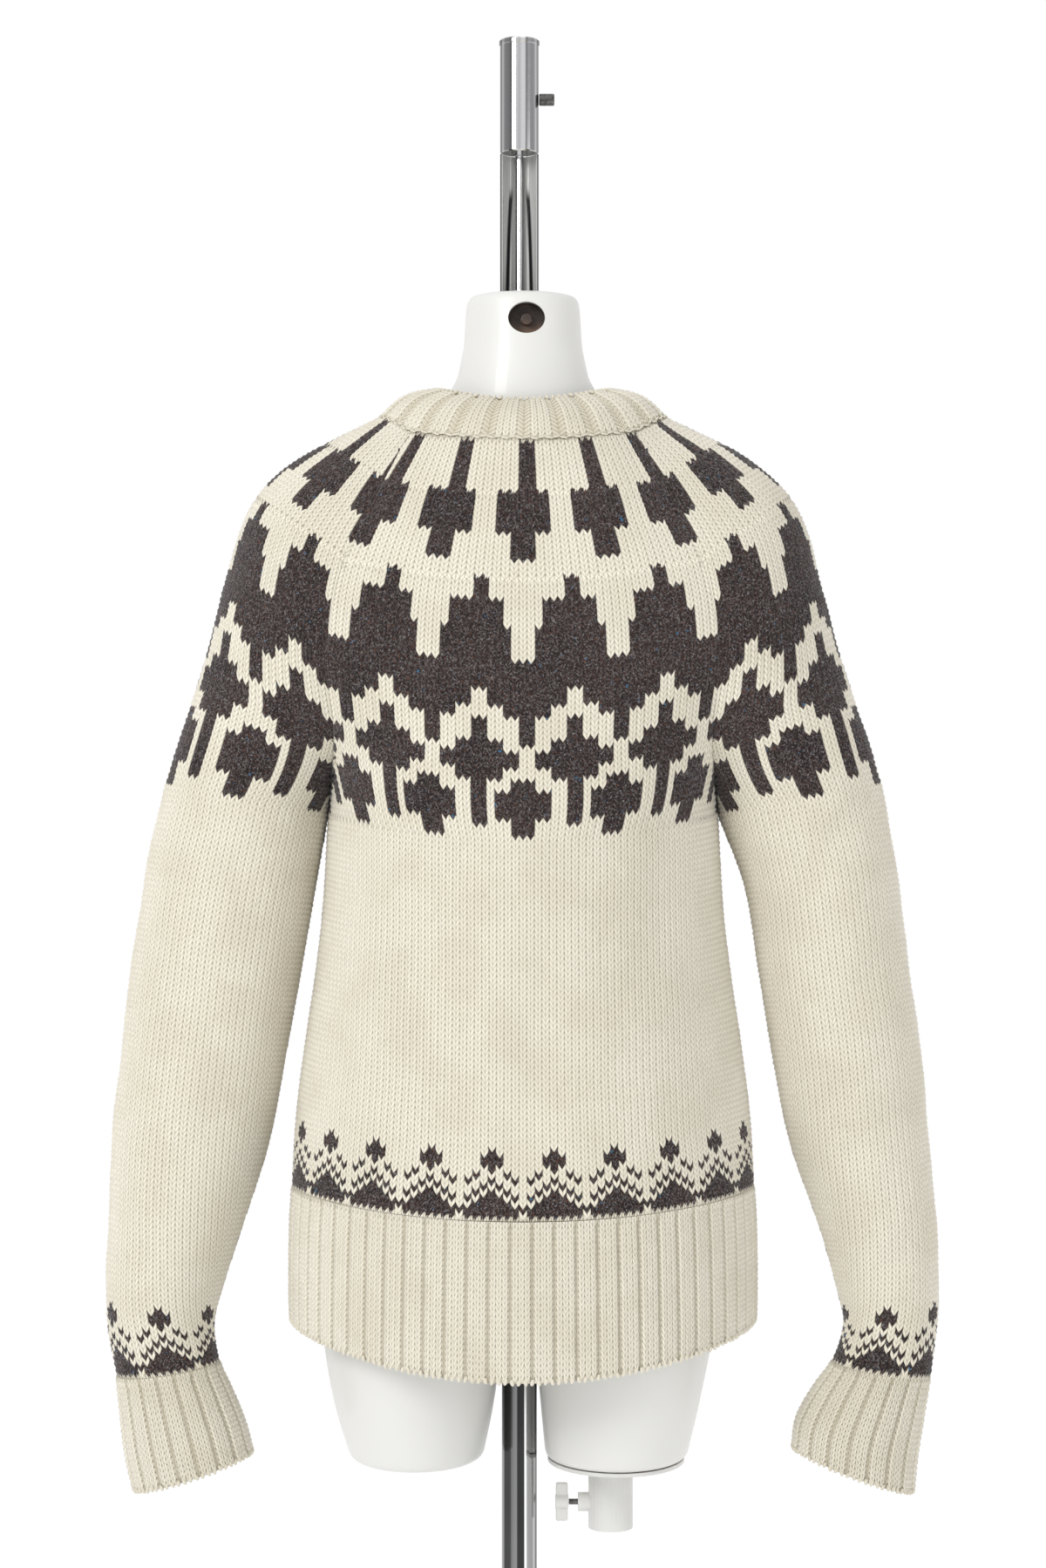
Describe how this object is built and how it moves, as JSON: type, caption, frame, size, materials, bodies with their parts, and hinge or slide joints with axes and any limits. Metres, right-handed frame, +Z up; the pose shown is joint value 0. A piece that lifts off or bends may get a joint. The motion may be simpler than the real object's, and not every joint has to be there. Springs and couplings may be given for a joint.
{
  "type": "round-neck yoke sweater on torso form and pole stand",
  "caption": "Round-neck pullover with a patterned yoke and ribbed edges, worn by a limbless torso form on a chrome pole stand.",
  "frame": {"origin": "middle of the underside of the base", "axes": "+Z up; the garment's back faces -Y and its front +Y; +X on the right of somebody who looks at the back"},
  "size_m": [0.5721, 0.34, 1.671],
  "materials": {
    "patterned_knit": "stocking stitch in cream wool with dark tweed stranded motifs, matt and slightly hairy",
    "ribbed_knit": "ribbed cream wool, matt and slightly hairy",
    "form_shell": "smooth white moulded shell with a soft gloss",
    "white_fitting": "white moulded plastic",
    "chrome_tube": "polished chrome",
    "steel_screw": "plain steel"
  },
  "bodies": {
    "dressed_stand": {"back_panel": "patterned_knit", "front_panel": "patterned_knit", "left_sleeve": "patterned_knit", "right_sleeve": "patterned_knit", "neckband": "ribbed_knit", "back_hem_rib": "ribbed_knit", "front_hem_rib": "ribbed_knit", "left_cuff": "ribbed_knit", "right_cuff": "ribbed_knit", "torso_form": "form_shell", "stub_plate": "white_fitting", "socket": "white_fitting", "neck_screw": "steel_screw", "channel_rod": "steel_screw", "pole": "chrome_tube", "half_round_channel": "chrome_tube", "top_collar": "chrome_tube", "collar_set_screw": "chrome_tube", "base_disc": "chrome_tube", "hub": "chrome_tube"},
    "clamp_knob": {"wing_knob": "white_fitting", "knob_screw": "steel_screw"}
  },
  "joints": [
    {"name": "knob_turn", "type": "hinge", "parent": "dressed_stand", "child": "clamp_knob", "pos_m": [0.0267, 0, 0.665], "axis": [1, 0, 0], "continuous": true}
  ]
}
